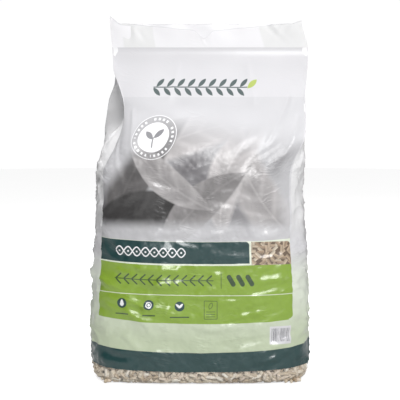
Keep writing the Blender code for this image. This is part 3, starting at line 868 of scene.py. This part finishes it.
def badge(colour, u, v):                          # a white disc in a ring of short strokes, with a sprout on it
    at = (-0.0868, 0.4630)
    away = disc(u, v, at, 0.0)
    colour = over(colour, (0.330, 0.325, 0.335), inside(away - 0.0405) * 0.55)
    colour = over(colour, inks["bright"], outline(away - 0.0398, 0.0006))
    turn = (u - at[0]).node("Math", {"operation": "ARCTAN2"}, {0: v - at[1], 1: u - at[0]})
    stroke = passing((turn * 26).math("SINE") - 0.1, 0.12) * passing((turn * 5 + 0.8).math("SINE") + 0.86, 0.05)
    ring = inside(abs(away - 0.0335) - 0.0022)
    colour = over(colour, inks["bright"], ring * stroke)
    colour = over(colour, inks["bright"], inside(away - 0.0272))
    sprout = least(leaf(u, v, (at[0] + 0.0082, at[1] + 0.0070), 0.0110, 0.0046, 0.85),
                   leaf(u, v, (at[0] - 0.0082, at[1] + 0.0040), 0.0105, 0.0044, 2.40))
    stem = capsule(u, v, (at[0], at[1] - 0.0090), 0.0085, 0.0011, math.pi / 2)
    return over(colour, inks["grey"], inside(least(sprout, stem)))


def sprig(colour, u, v):                          # a plain garland where a name would stand
    middle = 0.5560
    pitch = 0.0199
    left = -0.1080
    right = left + 9 * pitch
    cell = (u - left).math("WRAP", pitch, 0.0) - pitch / 2
    within = rectangle(u, v, (left, middle - 0.02), (right, middle + 0.02))
    up = leaf(cell, v, (0.0030, middle + 0.0085), 0.0105, 0.0038, 0.80)
    down = leaf(cell, v, (-0.0030, middle - 0.0085), 0.0105, 0.0038, -0.80)
    stem = rectangle(u, v, (left, middle - 0.0010), (right, middle + 0.0010), 0.0009)
    colour = over(colour, inks["slate"], inside(most(least(up, down), within)))
    colour = over(colour, inks["slate"], inside(stem))
    tip = leaf(u, v, (right + 0.0090, middle + 0.0060), 0.0120, 0.0050, 0.75)
    return over(colour, inks["leaf"], inside(tip))


def along(u, v, name):                            # the height over a level that bends with the bands
    return v - (u * layout[name][1] + u * u * layout[name][2])


def wave(u, v, rise, length, shift):              # distance from a running wave
    turn = u * (2 * math.pi / length) + shift
    steep = turn.math("COSINE") * (rise * 2 * math.pi / length)
    return abs(v - turn.math("SINE") * rise) / (steep * steep + 1).math("SQRT")


def titlePrint(colour, u, v):                     # two crossing waves with a dot in each eye
    left, right, middle, length = -0.1530, -0.0190, 0.2510, 0.0335
    v = along(u, v, "titleFoot") - middle
    within = rectangle(u, v, (left, -0.0110), (right, 0.0110))
    strand = least(wave(u - left, v, 0.0082, length, 0.0), wave(u - left, v, 0.0082, length, math.pi)) - 0.0011
    eye = (u - left).math("WRAP", length / 2, 0.0) - length / 4
    shape = least(strand, disc(eye, v, (0.0, 0.0), 0.0018))
    return over(colour, inks["bright"], inside(most(shape, within)))


def greenPrint(colour, u, v):
    low, left, right, pitch = 0.1995, -0.1530, 0.0330, 0.0155
    level = along(u, v, "divider") - low
    cell = (u - left).math("WRAP", pitch, 0.0) - pitch / 2
    ear = capsule(cell, abs(level), (0.0, 0.0052), 0.0058, 0.0013, 0.75)     # an ear of grain, laid along the band
    ear = most(least(ear, abs(level) - 0.0008), rectangle(u, level, (left, -0.0120), (right, 0.0120)))
    colour = over(colour, inks["greenDark"], inside(ear))
    colour = over(colour, inks["greenDark"], inside(rectangle(u, level, (0.0469, -0.0145), (0.0479, 0.0145))))
    for i in range(3):
        rod = capsule(u, level, (0.0660 + i * 0.0175, 0.0), 0.0076, 0.0044, -1.05)
        colour = over(colour, inks["greenDark"], inside(rod))
    marks = ((-0.1376, 0.1568, 0.026), (-0.0871, 0.1540, 0.024), (-0.0299, 0.1512, 0.036))
    for x, y, wide in marks:
        colour = over(colour, inks["dark"], inside(disc(u, v, (x, y), 0.0092)))
        caption = rectangle(u, v, (x - wide / 2, y - 0.0212), (x + wide / 2, y - 0.0188), 0.0011)
        colour = over(colour, inks["greenDark"], inside(caption))
    x, y = marks[0][:2]
    drop = least(disc(u, v, (x, y - 0.0017), 0.0038), leaf(u, v, (x, y + 0.0007), 0.0066, 0.0030, math.pi / 2))
    x, y = marks[1][:2]
    rings = outline(disc(u, v, (x, y), 0.0048), 0.0007)
    dot = inside(disc(u, v, (x, y), 0.0018))
    x, y = marks[2][:2]
    pair = least(leaf(u, v, (x - 0.0028, y + 0.0007), 0.0058, 0.0022, 2.4),
                 leaf(u, v, (x + 0.0023, y + 0.0007), 0.0058, 0.0022, 0.8))
    colour = over(colour, inks["bright"], most(most(inside(drop), inside(pair)), most(rings, dot)))
    return framedMark(colour, u, v)


def framedMark(colour, u, v):                     # a small frame with an open leaf and three lines
    left, right, foot, height = 0.0158, 0.0397, 0.1277, 0.0336
    colour = over(colour, inks["greenDark"], outline(rectangle(u, v, (left, foot), (right, foot + height), 0.0012), 0.0005))
    sprout = leaf(u, v, ((left + right) / 2, foot + 0.0245), 0.0062, 0.0030, 1.2)
    colour = over(colour, inks["greenDark"], outline(sprout, 0.0005))
    for i in range(3):
        y = foot + 0.0043 + i * 0.0045
        line = rectangle(u, v, (left + 0.0037, y - 0.0005), (right - 0.0037, y + 0.0005))
        colour = over(colour, inks["greenDark"], inside(line))
    return colour


def labelPrint(colour, u, v):                     # a white label with plain bars of no meaning
    low, high = (0.1376, 0.0788), (0.1806, 0.1128)
    colour = over(colour, inks["white"], inside(rectangle(u, v, low, high)))
    ripple = (v * 520).math("SINE") * 0.0004 + u
    spot = u.node("CombineXYZ", {}, {0: ripple, 1: 0.0, 2: 0.0})
    bars = spot.node("TexNoise", {"noise_dimensions": "1D"}, {"W": ripple * 900, "Scale": 1.0, "Detail": 0.0})
    field = inside(rectangle(u, v, (low[0] + 0.0035, low[1] + 0.0050), (high[0] - 0.0030, high[1] - 0.0040)))
    gap = passing(abs(u - 0.1565) - 0.0013)
    return over(colour, (0.170, 0.170, 0.190), passing(bars - 0.50, 0.03) * field * gap * 0.9)


def printedColour(s, u, v, onPanel, onFront):
    low = above(u, v, "strip")
    colour = over(inks["paleLow"], inks["paleHigh"], between(v, 0.075, 0.190))
    colour = over(colour, inks["white"], between(v, 0.190, 0.262))
    colour = over(colour, inks["gussetWhite"], (1 - onPanel) * between(v, 0.26, 0.32))
    # painted light: the gussets are painted lighter towards the shoulder, where the flap faces up
    colour = over(colour, inks["gussetPaintedLight"], (1 - onPanel) * between(v, 0.36, 0.46))
    colour = over(inks["dark"], colour, passing(above(u, v, "low")))
    across = most(layout["left"] - u, u - layout["right"])
    green = most(most(across, -above(u, v, "greenFoot")), above(u, v, "greenTop"))
    round = layout["corner"]
    edge = layout["right"] - round
    cut = least(u - edge, layout["greenCorner"] - v)
    green = most(green, least(disc(u, v, (edge, layout["greenCorner"]), round), cut))
    title = most(most(layout["left"] - u, u - layout["titleRight"]), -above(u, v, "titleFoot"))
    title = most(title, above(u, v, "titleTop"))
    edge = layout["titleRight"] - round
    cut = least(u - edge, v - layout["titleCorner"])
    title = most(title, least(disc(u, v, (edge, layout["titleCorner"]), round), cut))
    swatch = rectangle(u, v, (layout["swatchLeft"], layout["swatchFoot"]), (layout["right"], layout["swatchTop"]))
    edge, rise = layout["right"] - round, layout["swatchTop"] - round
    swatch = most(swatch, least(disc(u, v, (edge, rise), round), least(u - edge, v - rise)))
    picture = rectangle(u, v, (layout["left"], layout["pictureFoot"]), (layout["right"], layout["pictureTop"]))
    colour = over(colour, softPicture(u, v), inside(picture, 0.0006) * onFront)
    field = most(across, most(-above(u, v, "greenTop"), above(u, v, "titleTop") - 0.0006))
    colour = over(colour, inks["rule"], inside(field) * onPanel)
    colour = over(colour, inks["green"], inside(green) * onPanel)
    colour = over(colour, inks["rule"], inside(abs(above(u, v, "divider")) - 0.0006) * inside(across) * onPanel)
    colour = over(colour, inks["dark"], inside(title) * onPanel)
    backBand = inside(most(across, most(-above(u, v, "titleFoot"), above(u, v, "titleTop")))) * onPanel * (1 - onFront)
    colour = over(colour, inks["dark"], backBand)
    colour = over(colour, pelletPattern(u, v, 0.0150, 0.0), inside(swatch) * onFront)
    return colour, low


def finePrint(colour, u, v, onFront, onPanel):
    front = titlePrint(greenPrint(labelPrint(sprig(badge(colour, u, v), u, v), u, v), u, v), u, v)
    colour = over(colour, front, onFront)
    back = onPanel - onFront
    lineAt = v.math("WRAP", 0.0085, 0.0) - 0.00425
    wordAt = (v / 0.0085).math("FLOOR")
    ragged = (wordAt * 12.9898).math("SINE").math("MULTIPLY", 437.58).math("FRACT") * 0.035
    column = u.math("WRAP", 0.156, 0.0) - 0.078
    textBlock = most(rectangle(u, v, (-0.150, 0.330), (0.150, 0.520)), most(-0.062 - column, column + ragged - 0.062))
    lines = inside(abs(lineAt) - 0.0013) * inside(textBlock)
    return over(colour, inks["slate"], lines * back * 0.8)


def filmMaterial():
    made = bpy.data.materials.new("printed film")
    made.use_nodes = True
    tree = made.node_tree
    printed = tree.nodes["Principled BSDF"]
    uvMap = tree.nodes.new("ShaderNodeUVMap")
    uvMap.uv_map = film.data.uv_layers[0].name
    place = Wire(tree, uvMap.outputs[0])
    split = place.node("SeparateXYZ", {}, {0: place})
    s = split - girth / 2
    v = Wire(tree, split.socket.node.outputs[1])
    away = abs(s)
    isBack = passing(away - girth / 4, 0.0001)
    u = s * (1 - isBack) + (s / most(away, 0.001)) * (away - girth / 2) * isBack
    onPanel = inside(abs(u) - halfPanel - 0.0016)
    onFront = onPanel * (1 - isBack)
    colour, strip = printedColour(s, u, v, onPanel, onFront)
    colour = finePrint(colour, u, v, onFront, onPanel)
    top = passing(v - layout["printTop"])
    # painted shade: the flange is tinted grey where four layers of film lie together, except at the left ear, which
    # keeps the paler white
    paintedLayerShade = passing(abs(u) - (halfPanel - bag["gusset"] * 0.97), 0.002)
    paintedLayerShade = paintedLayerShade * passing(u + 0.1630, 0.002)
    # painted shade: the back half of the flange is painted a little darker than the front
    rim = over(over((0.905, 0.897, 0.918), (0.835, 0.835, 0.838), paintedLayerShade), (0.830, 0.825, 0.842), isBack)
    # a grey line along the cut rim: partly the edge's own grey, partly painted shade
    rim = over(rim, (0.640, 0.640, 0.660), passing(v - (rimAt - 0.0012)) * 0.6)
    colour = over(colour, rim, top)

    coords = tree.nodes.new("ShaderNodeTexCoord")
    solid = Wire(tree, coords.outputs["Object"])
    fineMask = inside(v - 0.445, 0.03)
    beads = solid.node("TexVoronoi", {"feature": "SMOOTH_F1"}, {"Vector": solid, "Scale": 105.0, "Smoothness": 0.6})
    drift = solid.node("TexNoise", {}, {"Vector": solid, "Scale": 14.0, "Detail": 3.0, "Roughness": 0.55})
    arc = v - u * u * 1.05 + (drift - 0.5) * 0.05
    streakPlace = arc.node("CombineXYZ", {}, {0: s * 15, 1: arc * 95, 2: 0.0})
    streak = arc.node("TexNoise", {}, {"Vector": streakPlace, "Scale": 1.0, "Detail": 2.0, "Roughness": 0.5})
    ridge = (1 - abs(streak * 2 - 1)) ** 9
    where = solid.node("TexNoise", {}, {"Vector": solid, "Scale": 21.0, "Detail": 1.0})
    ridge = ridge * between(where, 0.46, 0.66)
    tiny = solid.node("TexNoise", {}, {"Vector": solid, "Scale": 240.0, "Detail": 3.0, "Roughness": 0.6})
    height = (0.5 - beads) * 0.0009 * fineMask + ridge * 0.0005 * (fineMask * 0.8 + 0.2) + tiny * 0.00005
    bump = height.node("Bump", {}, {"Height": height, "Strength": 1.0, "Distance": 1.0})
    roughness = drift * 0.16 + 0.30

    clear = 1 - passing(strip)
    values = {"Base Color": colour, "Roughness": roughness, "Normal": bump}
    for name, value in values.items():
        tree.links.new(value.socket, printed.inputs[name])
    printed.inputs["IOR"].default_value = 1.49
    coat = 0.7 - between(v, 0.350, 0.450) * 0.5
    tree.links.new(coat.socket, printed.inputs["Coat Weight"])
    printed.inputs["Coat Roughness"].default_value = 0.17
    alpha = 1 - top * 0.05
    tree.links.new(alpha.socket, printed.inputs["Alpha"])

    bare = tree.nodes.new("ShaderNodeBsdfPrincipled")
    bare.inputs["Base Color"].default_value = (0.80, 0.79, 0.77, 1)
    bare.inputs["IOR"].default_value = 1.6
    bare.inputs["Alpha"].default_value = 0.07
    bare.inputs["Coat Weight"].default_value = 1.0
    bare.inputs["Coat Roughness"].default_value = 0.12
    tree.links.new(roughness.socket, bare.inputs["Roughness"])
    tree.links.new(bump.socket, bare.inputs["Normal"])
    mixer = tree.nodes.new("ShaderNodeMixShader")
    tree.links.new(clear.socket, mixer.inputs[0])
    tree.links.new(printed.outputs[0], mixer.inputs[1])
    tree.links.new(bare.outputs[0], mixer.inputs[2])
    output = next(n for n in tree.nodes if n.type == "OUTPUT_MATERIAL")
    tree.links.new(mixer.outputs[0], output.inputs["Surface"])
    return made


def woodMaterial(name, paintedShade):
    made = bpy.data.materials.new(name)
    made.use_nodes = True
    tree = made.node_tree
    shader = tree.nodes["Principled BSDF"]
    coords = tree.nodes.new("ShaderNodeTexCoord")
    place = Wire(tree, coords.outputs["Object"])
    grain = place.node("TexNoise", {}, {"Vector": place, "Scale": 900.0, "Detail": 4.0, "Roughness": 0.7})
    patch = place.node("TexVoronoi", {}, {"Vector": place, "Scale": 130.0})
    # painted shade: the fill behind the rods gets dark wood tones, standing for the shade deep in the pile
    if paintedShade:
        tone = patch.node("ValToRGB", {"stops": ((0.0, (0.300, 0.225, 0.150)), (0.6, (0.110, 0.080, 0.055)),
                                                 (1.0, (0.040, 0.030, 0.022)))}, {0: patch})
    else:
        tagged = tree.nodes.new("ShaderNodeAttribute")
        tagged.attribute_name = "tone"
        tag = Wire(tree, tagged.outputs["Fac"])
        tone = tag.node("ValToRGB", {"stops": ((0.0, (0.440, 0.340, 0.235)), (0.25, (0.660, 0.560, 0.430)),
                                               (0.5, (0.770, 0.690, 0.560)), (0.75, (0.720, 0.610, 0.500)),
                                               (1.0, (0.880, 0.840, 0.740)))}, {0: tag})
    shade = grain * 0.6 + 0.70
    tone = tone.node("Mix", {"data_type": "RGBA", "blend_type": "MULTIPLY"}, {0: 1.0, 6: tone, 7: grey(shade)}, 2)
    bump = grain.node("Bump", {}, {"Height": grain * 0.0004, "Strength": 1.0, "Distance": 1.0})
    tree.links.new(tone.socket, shader.inputs["Base Color"])
    tree.links.new(bump.socket, shader.inputs["Normal"])
    shader.inputs["Roughness"].default_value = 0.8
    return made


film.data.materials.clear()
film.data.materials.append(filmMaterial())
rods.data.materials.append(woodMaterial("pressed wood", False))
# the fill behind the rods is painted dark: painted shade
core.data.materials.append(woodMaterial("pressed wood with painted shade", True))
print("materials made")

for piece, node, finish in ((film, "film_bag", "printed_film"), (rods, "wood_pellets", "pellet_wood"),
                            (core, "wood_pellets", "pellet_wood")):
    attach(piece, "root")
    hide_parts(node)

studio = {
    "camera": (0.0, -2.10, 0.5243),
    "tilt": 85.0,
    "lens": 98.65,
    "light": (0.06, 0.42),       # what the world gives to the object, from its left and from its right
    "mirrored": (0.04, 0.60),    # the same in reflections
    "key": ((0.66, -2.50, 1.55), 1.3, 57.0),         # place, size and power of each lamp
    "top": ((-0.65, 0.1, 2.65), 1.2, 45.0),
    "back": ((-0.9, 2.4, 1.9), 1.8, 20.0),
}


def makeStudio():
    bpy.ops.object.select_all(action="DESELECT")
    bpy.ops.object.camera_add(location=studio["camera"], rotation=(math.radians(studio["tilt"]), 0, 0))
    camera = bpy.context.object
    camera.data.lens = studio["lens"]
    camera.data.sensor_width = 36
    bpy.context.scene.camera = camera
    for name in ("key", "top", "back"):
        place, size, power = studio[name]
        bpy.ops.object.light_add(type="AREA", location=place)
        lamp = bpy.context.object
        lamp.name = name
        lamp.data.shape = "DISK"
        lamp.data.size = size
        lamp.data.energy = power
        lamp.rotation_euler = (Vector((0, 0, 0.3)) - Vector(place)).to_track_quat("-Z", "Y").to_euler()
    bpy.ops.mesh.primitive_circle_add(vertices=96, radius=7, fill_type="NGON", location=(0, 0, 0))
    floor = bpy.context.object
    floor.name = "floor"
    floor.location.z = -0.0006
    floor.data.materials.append(floorMaterial())
    world = bpy.data.worlds.new("studio")
    bpy.context.scene.world = world
    world.use_nodes = True
    tree = world.node_tree
    coords = tree.nodes.new("ShaderNodeTexCoord")
    direction = Wire(tree, coords.outputs["Generated"])
    right = between(direction.node("SeparateXYZ", {}, {0: direction}), -0.8, 0.8)
    lit = right * (studio["light"][1] - studio["light"][0]) + studio["light"][0]
    mirrored = right * (studio["mirrored"][1] - studio["mirrored"][0]) + studio["mirrored"][0]
    paths = tree.nodes.new("ShaderNodeLightPath")
    shiny = most(Wire(tree, paths.outputs["Is Glossy Ray"]), Wire(tree, paths.outputs["Is Transmission Ray"]))
    strength = lit * (1 - shiny) + mirrored * shiny
    strength = most(strength, Wire(tree, paths.outputs["Is Camera Ray"]) * 1.02)
    tree.nodes["Background"].inputs["Color"].default_value = (1, 1, 1, 1)
    tree.links.new(strength.socket, tree.nodes["Background"].inputs["Strength"])


def floorMaterial():
    made = bpy.data.materials.new("white floor")
    made.use_nodes = True
    tree = made.node_tree
    shader = tree.nodes["Principled BSDF"]
    shader.inputs["Base Color"].default_value = (0.62, 0.62, 0.62, 1)
    shader.inputs["Roughness"].default_value = 0.9
    paths = tree.nodes.new("ShaderNodeLightPath")
    glow = tree.nodes.new("ShaderNodeEmission")
    glow.inputs["Strength"].default_value = 0.78
    adder = tree.nodes.new("ShaderNodeAddShader")
    tree.links.new(shader.outputs[0], adder.inputs[0])
    tree.links.new(glow.outputs[0], adder.inputs[1])
    mixer = tree.nodes.new("ShaderNodeMixShader")
    tree.links.new(paths.outputs["Is Camera Ray"], mixer.inputs[0])
    tree.links.new(shader.outputs[0], mixer.inputs[1])
    tree.links.new(adder.outputs[0], mixer.inputs[2])
    output = next(n for n in tree.nodes if n.type == "OUTPUT_MATERIAL")
    tree.links.new(mixer.outputs[0], output.inputs["Surface"])
    return made


makeStudio()
bpy.context.scene.view_settings.view_transform = "Standard"
print("studio made")
